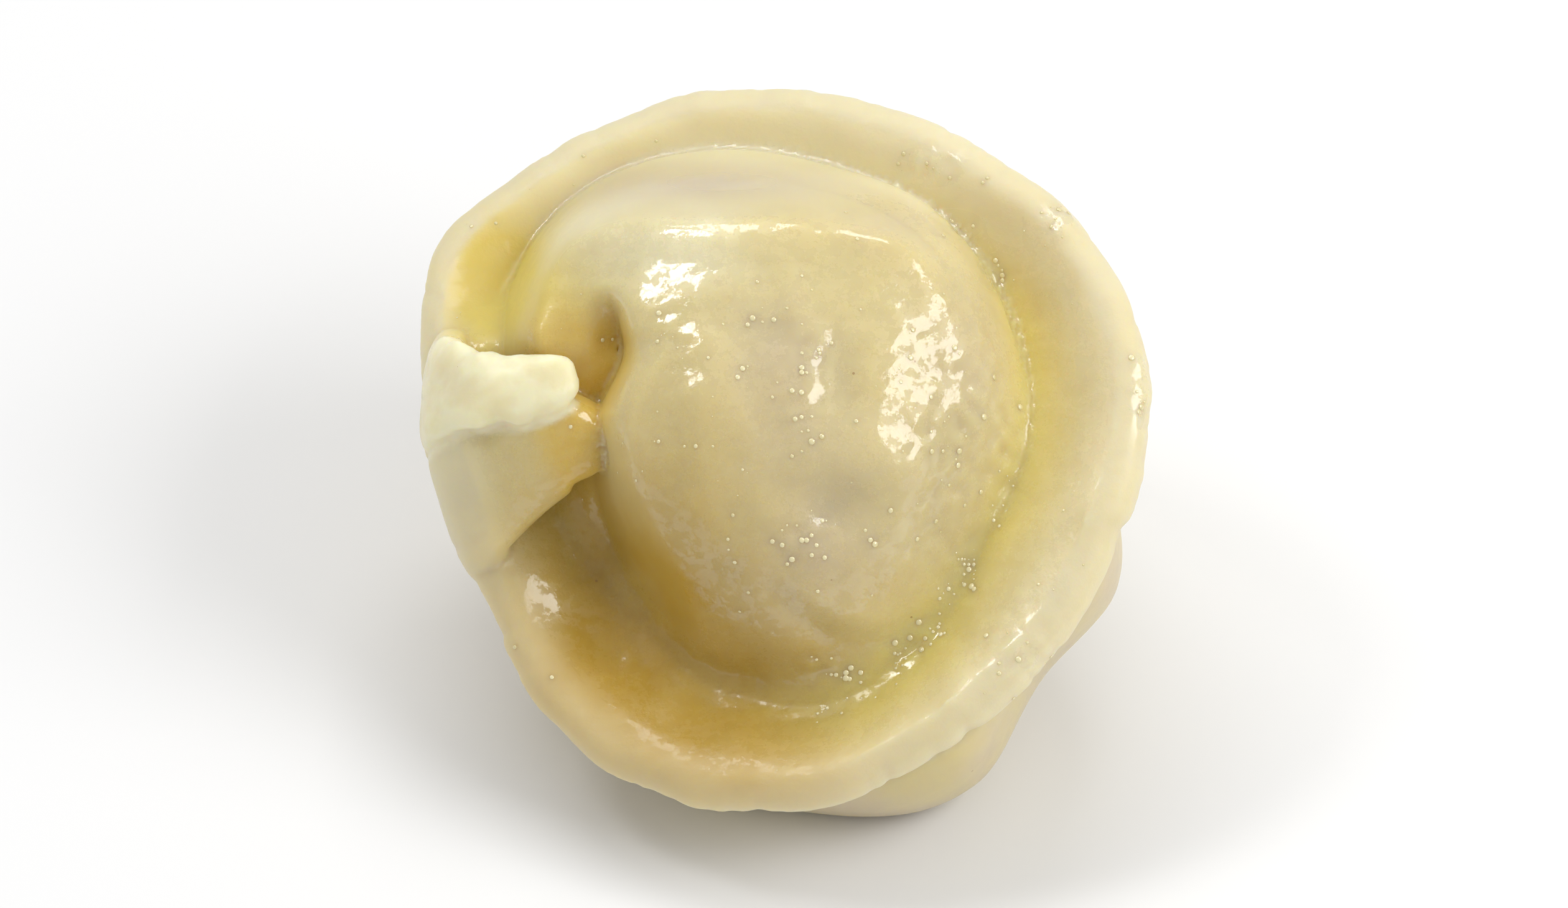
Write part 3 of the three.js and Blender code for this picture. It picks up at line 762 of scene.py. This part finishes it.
def skin_relief(points, normals, zones, shape):
    """Moves the skin along its normals by soft random fields of several lengths, least on steep
    walls, roughens the lip and the flap, gathers the back below the brim and nicks the lip."""
    u, v, w = points.T
    behind, lip, flap = zones["behind"], zones["lip"], zones["flap"]
    calm = 1 - CALM["rim"] * np.maximum(zones["rim"], lip)
    calm *= 1 - CALM["steep"] * (1 - step("relief_level", np.abs(normals[:, 2])))
    base = np.zeros(len(points))
    for name, height, share in (
        ("sag", shape.sag / MM, calm),
        ("lumps", shape.lumps / MM, calm),
        ("grain", shape.grain / MM, calm),
        ("drops", shape.drops / MM, zones["drops"]),
        ("rough", ROUGH_HEIGHT, np.maximum(0.4 * lip, flap)),
        ("fine", FINE_HEIGHT, np.maximum(0.5 * lip, flap)),
    ):
        base += height * ripples(points, *FIELDS[name]) * share

    angle = np.arctan2(v - BELLY_MIDDLE[1], u - BELLY_MIDDLE[0])
    over_plane = w - brim_plane(u, v)
    around = [DRUM["radius"] * np.cos(angle), DRUM["radius"] * np.sin(angle)]
    drum = np.stack([*around, DRUM["stretch"] * over_plane], -1)
    depth = BRIM_FLOOR - over_plane
    gathered = behind * step("gathers_foot", depth) * step("gathers_top", depth)
    base += shape.gathers / MM * ripples(drum, *FIELDS["gathers"]) * gathered
    moved = points + normals * base[:, None]
    edge = flap * np.clip((v - FLAP_EDGE["v"]) / FLAP_EDGE["half_width"], -1, 1)
    moved[:, 1] += FLAP_EDGE["height"] * edge * ripples(points, *FIELDS["flap_edge"])

    # The nicks are notches in the lip, deepest at the lower right.
    chance = np.random.default_rng(NICKS["seed"])
    count = shape.nick_count
    nick_at = chance.uniform(-np.pi, np.pi, count)
    nick_width = chance.uniform(*NICKS["widths"], count) / LIP_RADIUS
    nick_depth = chance.uniform(NICKS["least"], shape.nicks / MM, count)
    gap = np.angle(np.exp(1j * (angle[:, None] - nick_at[None, :])))
    nick = (nick_depth * hill(gap, 0, nick_width, 1)).sum(1) * lip
    worn = hill(angle - NICKED["at"], 0, NICKED["half_angle"], 1)
    nick *= NICKED["elsewhere"] + (1 - NICKED["elsewhere"]) * worn
    inward = -np.stack([np.cos(angle), np.sin(angle), 0 * angle], -1)
    return moved + inward * nick[:, None]


# ---- nodes ----


def add_node(tree, kind, inputs=(), **settings):
    """A node with its settings, and its inputs linked or set."""
    node = tree.nodes.new(kind)
    for name, value in settings.items():
        setattr(node, name, value)
    for name, value in dict(inputs).items():
        if isinstance(value, bpy.types.NodeSocket):
            tree.links.new(value, node.inputs[name])
        else:
            node.inputs[name].default_value = value
    return node


def maths(tree, operation, a, b=0.0, clamp=False):
    node = add_node(tree, "ShaderNodeMath", {0: a, 1: b}, operation=operation, use_clamp=clamp)
    return node.outputs[0]


def blend_colour(tree, share, a, b):
    node = add_node(tree, "ShaderNodeMix", data_type="RGBA")
    for socket, value in ((node.inputs[0], share), (node.inputs[6], a), (node.inputs[7], b)):
        if isinstance(value, bpy.types.NodeSocket):
            tree.links.new(value, socket)
        elif socket is node.inputs[0]:
            socket.default_value = value
        else:
            socket.default_value = (*value[:3], 1)
    return node.outputs[2]


def between(tree, value, low, high, start=0.0, end=1.0):
    """Value from low to high, mapped smoothly to start to end."""
    node = add_node(
        tree,
        "ShaderNodeMapRange",
        {0: value, 1: low, 2: high, 3: start, 4: end},
        interpolation_type="SMOOTHSTEP",
    )
    return node.outputs[0]


def noise(tree, where, size, detail=3.0, roughness=0.5):
    """Noise whose lumps are about that size, in metres."""
    node = add_node(
        tree,
        "ShaderNodeTexNoise",
        {"Vector": where, "Scale": 1 / size, "Detail": detail, "Roughness": roughness},
    )
    return node.outputs["Fac"]


def attribute(tree, name):
    return add_node(tree, "ShaderNodeAttribute", attribute_name=name).outputs["Fac"]


def new_material(name):
    material = bpy.data.materials.new(name)
    material.use_nodes = True
    tree = material.node_tree
    shader = tree.nodes["Principled BSDF"]
    return material, tree, shader


def boiled_dough(finish):
    """Boiled dough: cream to yellow by zone, with painted shade in the groove, the recess and the
    lower left and painted light at the top, translucent, with a film of broth in patches.
    """
    material, tree, shader = new_material("Boiled dough")
    where = add_node(tree, "ShaderNodeTexCoord").outputs["Object"]
    patch = {
        "broad": noise(tree, where, PATCH_SIZES["broad"], 2),
        "middling": noise(tree, where, PATCH_SIZES["middling"], 3),
    }
    zone = {name: attribute(tree, name) for name in (*RUN_OFF, "soaked", "drops")}

    # The tones, each by its zone's share in patches.
    light = between(tree, patch["broad"], 0.35, 0.65)
    colour = blend_colour(tree, light, finish.cream, finish.cream_light)
    for name, amount, spread, size, tone in TONES:
        varied = between(tree, patch[size], 0.3, 0.7, 1 - spread, 1 + spread)
        share = maths(tree, "MULTIPLY", attribute(tree, name), amount)
        share = maths(tree, "MULTIPLY", share, varied, True)
        colour = blend_colour(tree, share, colour, getattr(finish, tone))

    # Specks: the middles of one cell in ten.
    inputs = {"Vector": where, "Scale": 1 / SPECKS["cell"]}
    cells = add_node(tree, "ShaderNodeTexVoronoi", inputs)
    lot = maths(tree, "FRACT", maths(tree, "MULTIPLY", cells.outputs["Color"], 7.3))
    speck = maths(tree, "LESS_THAN", cells.outputs["Distance"], SPECKS["radius"])
    speck = maths(tree, "MULTIPLY", speck, maths(tree, "LESS_THAN", lot, SPECKS["chance"]))
    speck = maths(tree, "MULTIPLY", speck, SPECKS["strength"])
    colour = blend_colour(tree, speck, colour, finish.speck)
    tree.links.new(colour, shader.inputs["Base Color"])

    # The film: torn patches, run off by zone but for the gathered drops, and standing broth.
    broken = noise(tree, where, PATCH_SIZES["film"], 6, 0.72)
    broken = maths(tree, "ADD", broken, maths(tree, "MULTIPLY", zone["drops"], FILM["lead"]))
    wet = between(tree, broken, *FILM["tear"])
    dull = 0.0
    for name, share in RUN_OFF.items():
        dull = maths(tree, "MAXIMUM", maths(tree, "MULTIPLY", zone[name], share), dull)
    dull = maths(tree, "MULTIPLY", dull, maths(tree, "SUBTRACT", 1.0, zone["drops"]))
    wet = maths(tree, "MULTIPLY", wet, maths(tree, "SUBTRACT", 1.0, dull), True)
    wet = maths(tree, "MAXIMUM", wet, zone["soaked"])
    roughness = between(tree, wet, 0.0, 1.0, finish.dry_roughness, finish.wet_roughness)
    roughness = maths(tree, "ADD", roughness, maths(tree, "MULTIPLY", zone["lip"], FILM["lip"]))
    tree.links.new(roughness, shader.inputs["Roughness"])
    tree.links.new(maths(tree, "MULTIPLY", wet, FILM["coat"]), shader.inputs["Coat Weight"])

    # The finest relief, in patches, and least where the skin is steep, soaked or behind.
    patchy = between(tree, noise(tree, where, PATCH_SIZES["relief"], 2), 0.35, 0.65, 0.5, 1.3)
    height = maths(tree, "MULTIPLY", noise(tree, where, PATCH_SIZES["fine"], 2, 0.6), patchy)
    calm = maths(tree, "MAXIMUM", zone["steep"], zone["behind"])
    calm = maths(tree, "MAXIMUM", calm, zone["soaked"])
    level = maths(tree, "SUBTRACT", 1.0, maths(tree, "MULTIPLY", calm, 0.9))
    height = maths(tree, "MULTIPLY", height, level)
    bump = add_node(tree, "ShaderNodeBump", {"Height": height, "Distance": finish.bump})
    tree.links.new(bump.outputs["Normal"], shader.inputs["Normal"])

    shader.inputs["Subsurface Weight"].default_value = 1.0
    shader.inputs["Subsurface Radius"].default_value = (1.0, 0.75, 0.3)
    shader.inputs["Subsurface Scale"].default_value = finish.depth
    shader.inputs["Coat Roughness"].default_value = 0.04
    shader.inputs["Coat IOR"].default_value = 1.6
    shader.inputs["IOR"].default_value = 1.45
    return material


def broth_on_dough():
    """Beads of broth on dough: in its colour, and very smooth."""
    material, tree, shader = new_material("Broth on dough")
    where = add_node(tree, "ShaderNodeTexCoord").outputs["Object"]
    tint = between(tree, noise(tree, where, 0.003), 0.35, 0.65)
    colour = blend_colour(tree, tint, (0.7, 0.61, 0.32), (0.8, 0.72, 0.42))
    tree.links.new(colour, shader.inputs["Base Color"])
    shader.inputs["Roughness"].default_value = 0.12
    shader.inputs["Coat Weight"].default_value = 1.0
    shader.inputs["Coat Roughness"].default_value = 0.03
    shader.inputs["Coat IOR"].default_value = 1.6
    return material


def pale_floor(stage):
    """A pale matt floor with a faint mottle."""
    material, tree, shader = new_material("Pale floor")
    where = add_node(tree, "ShaderNodeTexCoord").outputs["Object"]
    light = tuple(stage.floor_colour)
    dark = tuple(0.97 * x for x in light)
    colour = blend_colour(tree, noise(tree, where, 0.09, 2), dark, light)
    tree.links.new(colour, shader.inputs["Base Color"])
    shader.inputs["Roughness"].default_value = 0.6
    return material


# ---- settings ----


class DumplingShape(PropertyGroup):
    """Sizes of the wrapper's skin."""

    voxel: FloatProperty(
        name="Voxel", description="Edge of the voxels that the skin is made of",
        default=0.00029, min=0.0001, unit="LENGTH",
    )
    waver: FloatProperty(
        name="Waver", description="How far the lip wanders from its ring",
        default=0.00007, unit="LENGTH",
    )
    sag: FloatProperty(
        name="Sag", description="Height of the broad waves", default=0.0001, unit="LENGTH",
    )
    lumps: FloatProperty(
        name="Lumps", description="Height of the lumps", default=0.00003, unit="LENGTH",
    )
    grain: FloatProperty(
        name="Grain", description="Height of the grain", default=0.000009, unit="LENGTH",
    )
    drops: FloatProperty(
        name="Drops", description="Height of the flat drops of broth", default=0.00004,
        unit="LENGTH",
    )
    gathers: FloatProperty(
        name="Gathers", description="Height of the back's gathers", default=0.00016,
        unit="LENGTH",
    )
    nicks: FloatProperty(
        name="Nicks", description="Deepest nick in the lip", default=0.0002, unit="LENGTH",
    )
    nick_count: IntProperty(
        name="Nick count", description="Number of nicks in the lip", default=70,
    )


class DumplingFinish(PropertyGroup):
    """Colours and gloss of the dough."""

    cream: FloatVectorProperty(
        name="Cream", description="Dough over the belly", subtype="COLOR",
        default=(0.66, 0.56, 0.28),
    )
    cream_light: FloatVectorProperty(
        name="Light cream", description="Lighter patches of the dough", subtype="COLOR",
        default=(0.72, 0.62, 0.33),
    )
    pale: FloatVectorProperty(
        name="Pale", description="The brim's outer half", subtype="COLOR",
        default=(0.77, 0.71, 0.48),
    )
    # The yellow is partly wet dough and partly painted shade in the crease between belly and brim.
    yellow: FloatVectorProperty(
        name="Yellow", description="Wet dough in the groove", subtype="COLOR",
        default=(0.72, 0.587, 0.155),
    )
    mauve: FloatVectorProperty(
        name="Filling", description="Where the filling shows through", subtype="COLOR",
        default=(0.59, 0.49, 0.32),
    )
    # Painted shade: the amber that darkens the deep groove, the lower left and the recess.
    amber: FloatVectorProperty(
        name="Amber", description="The deep groove", subtype="COLOR", default=(0.49, 0.32, 0.055),
    )
    # Painted shade: the honey yellow that deepens the recess by the pinch.
    honey_painted_shade: FloatVectorProperty(
        name="Honey", description="The recess by the pinch", subtype="COLOR",
        default=(0.74, 0.54, 0.13),
    )
    # The floury tone is the cut edge's own colour on the flap, and painted light on the crown and
    # the brim's top.
    floury_and_top_light: FloatVectorProperty(
        name="Floury", description="The pressed and cut edge", subtype="COLOR",
        default=(0.83, 0.79, 0.56),
    )
    speck: FloatVectorProperty(
        name="Speck", description="Specks of spice", subtype="COLOR",
        default=(0.3, 0.13, 0.04),
    )
    dry_roughness: FloatProperty(
        name="Dry roughness", description="Where the film has run off", default=0.38,
        subtype="FACTOR",
    )
    wet_roughness: FloatProperty(
        name="Wet roughness", description="Where the film stands", default=0.08,
        subtype="FACTOR",
    )
    bump: FloatProperty(
        name="Bump", description="Height of the finest relief", default=0.000026, unit="LENGTH",
    )
    edge: FloatVectorProperty(
        name="Edge", description="The brim's rounded lip", subtype="COLOR",
        default=(0.69, 0.63, 0.43),
    )
    depth: FloatProperty(
        name="Depth", description="How far light wanders in the dough", default=0.0025,
        unit="LENGTH",
    )


class DumplingBroth(PropertyGroup):
    """Beads of broth."""

    count: IntProperty(name="Count", description="Number of beads", default=150)
    largest: FloatProperty(
        name="Largest", description="Radius of the largest stray bead", default=0.00014,
        unit="LENGTH",
    )
    widest: FloatProperty(
        name="Widest", description="Radius of the widest bead in the clusters",
        default=0.00021, unit="LENGTH",
    )


class DumplingStage(PropertyGroup):
    """Floor, lights and camera."""

    floor_size: FloatProperty(
        name="Floor", description="Side of the floor", default=3.0, unit="LENGTH"
    )
    floor_colour: FloatVectorProperty(
        name="Floor colour", description="Colour of the floor", subtype="COLOR",
        default=(0.86, 0.86, 0.86),
    )
    distance: FloatProperty(
        name="Distance", description="From the camera to the dumpling", default=0.9,
        unit="LENGTH",
    )
    frame_height: FloatProperty(
        name="Frame height", description="What the frame takes in, upwards", default=0.054,
        unit="LENGTH",
    )
    key: FloatProperty(name="Key", description="Power of the key light", default=1.05)
    side: FloatProperty(name="Side", description="Power of the side light", default=0.3)
    rear: FloatProperty(name="Rear", description="Power of the rear light", default=1.2)
    sky: FloatProperty(name="Sky", description="Strength of the sky", default=0.51)


# ---- operators ----


class DUMPLING_OT_wrapper(Operator):
    """Make the wrapper: belly, brim, back and pinched corners in one skin."""

    bl_idname = "dumpling.wrapper"
    bl_label = "Wrapper"

    def execute(self, context):
        shape = context.scene.dumpling_shape
        body = wrapper_grid(shape.waver / MM)
        corners = [corner_grid(stations) for stations in (UPPER_CORNER, LOWER_CORNER)]
        points, faces = join_shells([body, *corners])
        tongues = np.concatenate([grid.reshape(-1, 3) for grid, _, _ in corners])
        standing = Standing(body[0].reshape(-1, 3), tongues)

        mesh = one_skin(points, faces, shape.voxel / MM)
        mesh.name = "wrapper"
        skin = relax(mesh, read_points(mesh), 3)
        write_points(mesh, skin)
        normals = read_points(mesh, "normal")
        zones = skin_zones(skin, normals, corners[0][0].reshape(-1, 3))
        skin = skin_relief(skin, normals, zones, shape)
        for name, share in zones.items():
            put_attribute(mesh, name, share)
        for name, place in zip("uvw", skin.T):
            put_attribute(mesh, "face_" + name, place)
        write_points(mesh, standing.place(skin))
        mesh.shade_smooth()
        mesh.materials.clear()
        mesh.materials.append(boiled_dough(context.scene.dumpling_finish))

        wrapper = add_object("wrapper", mesh)
        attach(wrapper, "root")
        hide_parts("dumpling")
        return {"FINISHED"}


class DUMPLING_OT_broth(Operator):
    """Make the beads of broth that stand in the groove and on the belly and brim."""

    bl_idname = "dumpling.broth"
    bl_label = "Broth"

    def execute(self, context):
        settings = context.scene.dumpling_broth
        skin = bpy.data.objects["wrapper"].data
        at = read_points(skin)
        normals = read_points(skin, "normal")
        place = np.empty((2, len(at)), np.float32)
        for row, name in zip(place, ("face_u", "face_v")):
            skin.attributes[name].data.foreach_get("value", row)
        facing = lay_back(np.array([[0.0, 0.0, 1.0]]))[0]
        seen = np.flatnonzero(normals @ facing > 0.3)

        chance = np.random.default_rng(31)
        in_groove = settings.count // 4
        angles = np.concatenate([
            chance.uniform(-80, -12, in_groove),
            chance.uniform(-180, 180, settings.count - in_groove),
        ])
        rings = rings_at(angles)
        reach = rings["belly"] + chance.normal(0.6, 0.35, settings.count)
        inner = chance.uniform(2, 14, settings.count)
        outer = rings["brim"] - chance.uniform(0.6, 3.5, settings.count)
        kind = chance.integers(0, 3, settings.count)
        reach[in_groove:] = np.choose(kind, [inner, inner, outer])[in_groove:]
        u, v = spread_out(rings, reach)
        gap = (place[0, seen][None] - u[:, None]) ** 2 + (place[1, seen][None] - v[:, None]) ** 2
        chosen = seen[gap.argmin(1)]
        size = settings.largest * chance.uniform(0.3, 1, settings.count) ** 1.6

        spots = []
        for u0, v0, across, along, share in DROPS:
            count = round(5 * share * math.sqrt(across * along))
            spots.append(chance.normal((u0, v0), (0.6 * across, 0.6 * along), (count, 2)))
        spots = np.concatenate(spots)
        gap = ((place[:, seen].T[None] - spots[:, None]) ** 2).sum(-1)
        chosen = np.concatenate([chosen, seen[gap.argmin(1)]])
        wide = settings.widest * chance.uniform(0.25, 1, len(spots)) ** 1.5
        points, faces = beads(at[chosen], normals[chosen], np.concatenate([size, wide]))
        mesh = new_mesh("broth_beads", points, faces)
        mesh.materials.append(broth_on_dough())
        drops = add_object("broth_beads", mesh)
        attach(drops, "root")
        return {"FINISHED"}


def beads(centres, normals, sizes, rows=5, columns=8):
    """Flattened balls half sunk in the skin: a ball's grid of rings, wide as the size across the
    skin and flattened along the normal."""
    side = np.cross(normals, np.array([0.3, 0.5, 0.8]))
    side /= np.linalg.norm(side, axis=1, keepdims=True)
    other = np.cross(normals, side)
    lift = np.linspace(-np.pi / 2, np.pi / 2, rows + 2)[1:-1]
    turn = np.linspace(0, 2 * np.pi, columns, endpoint=False)
    flat = np.cos(lift)[:, None] * np.stack([np.cos(turn), np.sin(turn)])[:, None]
    up = np.sin(lift)[:, None] * np.ones(columns)
    local = np.stack([flat[0], flat[1], up], -1).reshape(-1, 3)
    local = np.concatenate([local, [[0, 0, -1], [0, 0, 1]]])
    long = np.stack([sizes, sizes, BEAD_FLATNESS * sizes], 1)[:, :, None]
    axes = long * np.stack([side, other, normals], 1)
    points = centres[:, None] + np.einsum("kj,njc->nkc", local, axes)
    one = shell_faces(rows, columns, 0)
    start = np.arange(len(centres)) * len(local)
    faces = [[i + s for i in face][::-1] for s in start.tolist() for face in one]
    return points.reshape(-1, 3), faces


class DUMPLING_OT_stage(Operator):
    """Make the pale floor, the soft lights and the camera."""

    bl_idname = "dumpling.stage"
    bl_label = "Stage"

    def execute(self, context):
        stage = context.scene.dumpling_stage
        side = stage.floor_size / 2
        z = CAD_LOW.z
        corners = np.array([[-side, -side, z], [side, -side, z], [side, side, z], [-side, side, z]])
        floor = add_object("floor", new_mesh("floor", corners, [[0, 1, 2, 3]]))
        floor.data.materials.append(pale_floor(stage))

        centre = (CAD_LOW + CAD_HIGH) / 2
        for name in LIGHTS:
            self.light(context, name, centre, getattr(stage, name))
        world = bpy.data.worlds.new("Sky")
        world.use_nodes = True
        background = world.node_tree.nodes["Background"]
        background.inputs["Color"].default_value = (1, 1, 1, 1)
        background.inputs["Strength"].default_value = stage.sky
        context.scene.world = world
        context.scene.view_settings.view_transform = "Standard"

        back = Vector((0, -math.cos(FACE_TILT), math.sin(FACE_TILT)))
        camera = bpy.data.cameras.new("camera")
        camera.sensor_width = SENSOR_WIDTH
        frame_width = stage.frame_height * PHOTO_SIZE[0] / PHOTO_SIZE[1]
        camera.lens = SENSOR_WIDTH * stage.distance / frame_width
        camera.clip_start = 0.05
        holder = bpy.data.objects.new("camera", camera)
        context.scene.collection.objects.link(holder)
        holder.location = centre + back * stage.distance
        holder.rotation_mode = "QUATERNION"
        holder.rotation_quaternion = (-back).to_track_quat("-Z", "Y")
        context.scene.camera = holder
        return {"FINISHED"}

    @staticmethod
    def light(context, name, centre, power):
        """A soft light from the table, that looks at the dumpling from its direction."""
        direction, distance, size = LIGHTS[name]
        lamp = bpy.data.lights.new(name, "AREA")
        lamp.shape = "RECTANGLE"
        lamp.size, lamp.size_y = size
        lamp.energy = power
        holder = bpy.data.objects.new(name, lamp)
        context.scene.collection.objects.link(holder)
        towards = Vector(direction).normalized()
        holder.location = centre + towards * distance
        holder.rotation_mode = "QUATERNION"
        holder.rotation_quaternion = (-towards).to_track_quat("-Z", "Y")


class DUMPLING_PT_panel(Panel):
    """Lists the pieces and their settings."""

    bl_label = "Dumpling"
    bl_space_type = "VIEW_3D"
    bl_region_type = "UI"
    bl_category = "Dumpling"

    def draw(self, context):
        for operator, settings in (
            ("dumpling.wrapper", (context.scene.dumpling_shape, context.scene.dumpling_finish)),
            ("dumpling.broth", (context.scene.dumpling_broth,)),
            ("dumpling.stage", (context.scene.dumpling_stage,)),
        ):
            box = self.layout.box()
            box.operator(operator)
            for group in settings:
                for name in group.__annotations__:
                    box.prop(group, name)


GROUPS = {
    "dumpling_shape": DumplingShape,
    "dumpling_finish": DumplingFinish,
    "dumpling_broth": DumplingBroth,
    "dumpling_stage": DumplingStage,
}
CLASSES = (
    *GROUPS.values(), DUMPLING_OT_wrapper, DUMPLING_OT_broth, DUMPLING_OT_stage,
    DUMPLING_PT_panel,
)


def register():
    for made in CLASSES:
        bpy.utils.register_class(made)
    for name, group in GROUPS.items():
        setattr(bpy.types.Scene, name, PointerProperty(type=group))


def unregister():
    for name in GROUPS:
        delattr(bpy.types.Scene, name)
    for made in reversed(CLASSES):
        bpy.utils.unregister_class(made)


def main():
    register()
    bpy.ops.dumpling.stage()
    bpy.ops.dumpling.wrapper()
    bpy.ops.dumpling.broth()


if __name__ == "__main__":
    main()
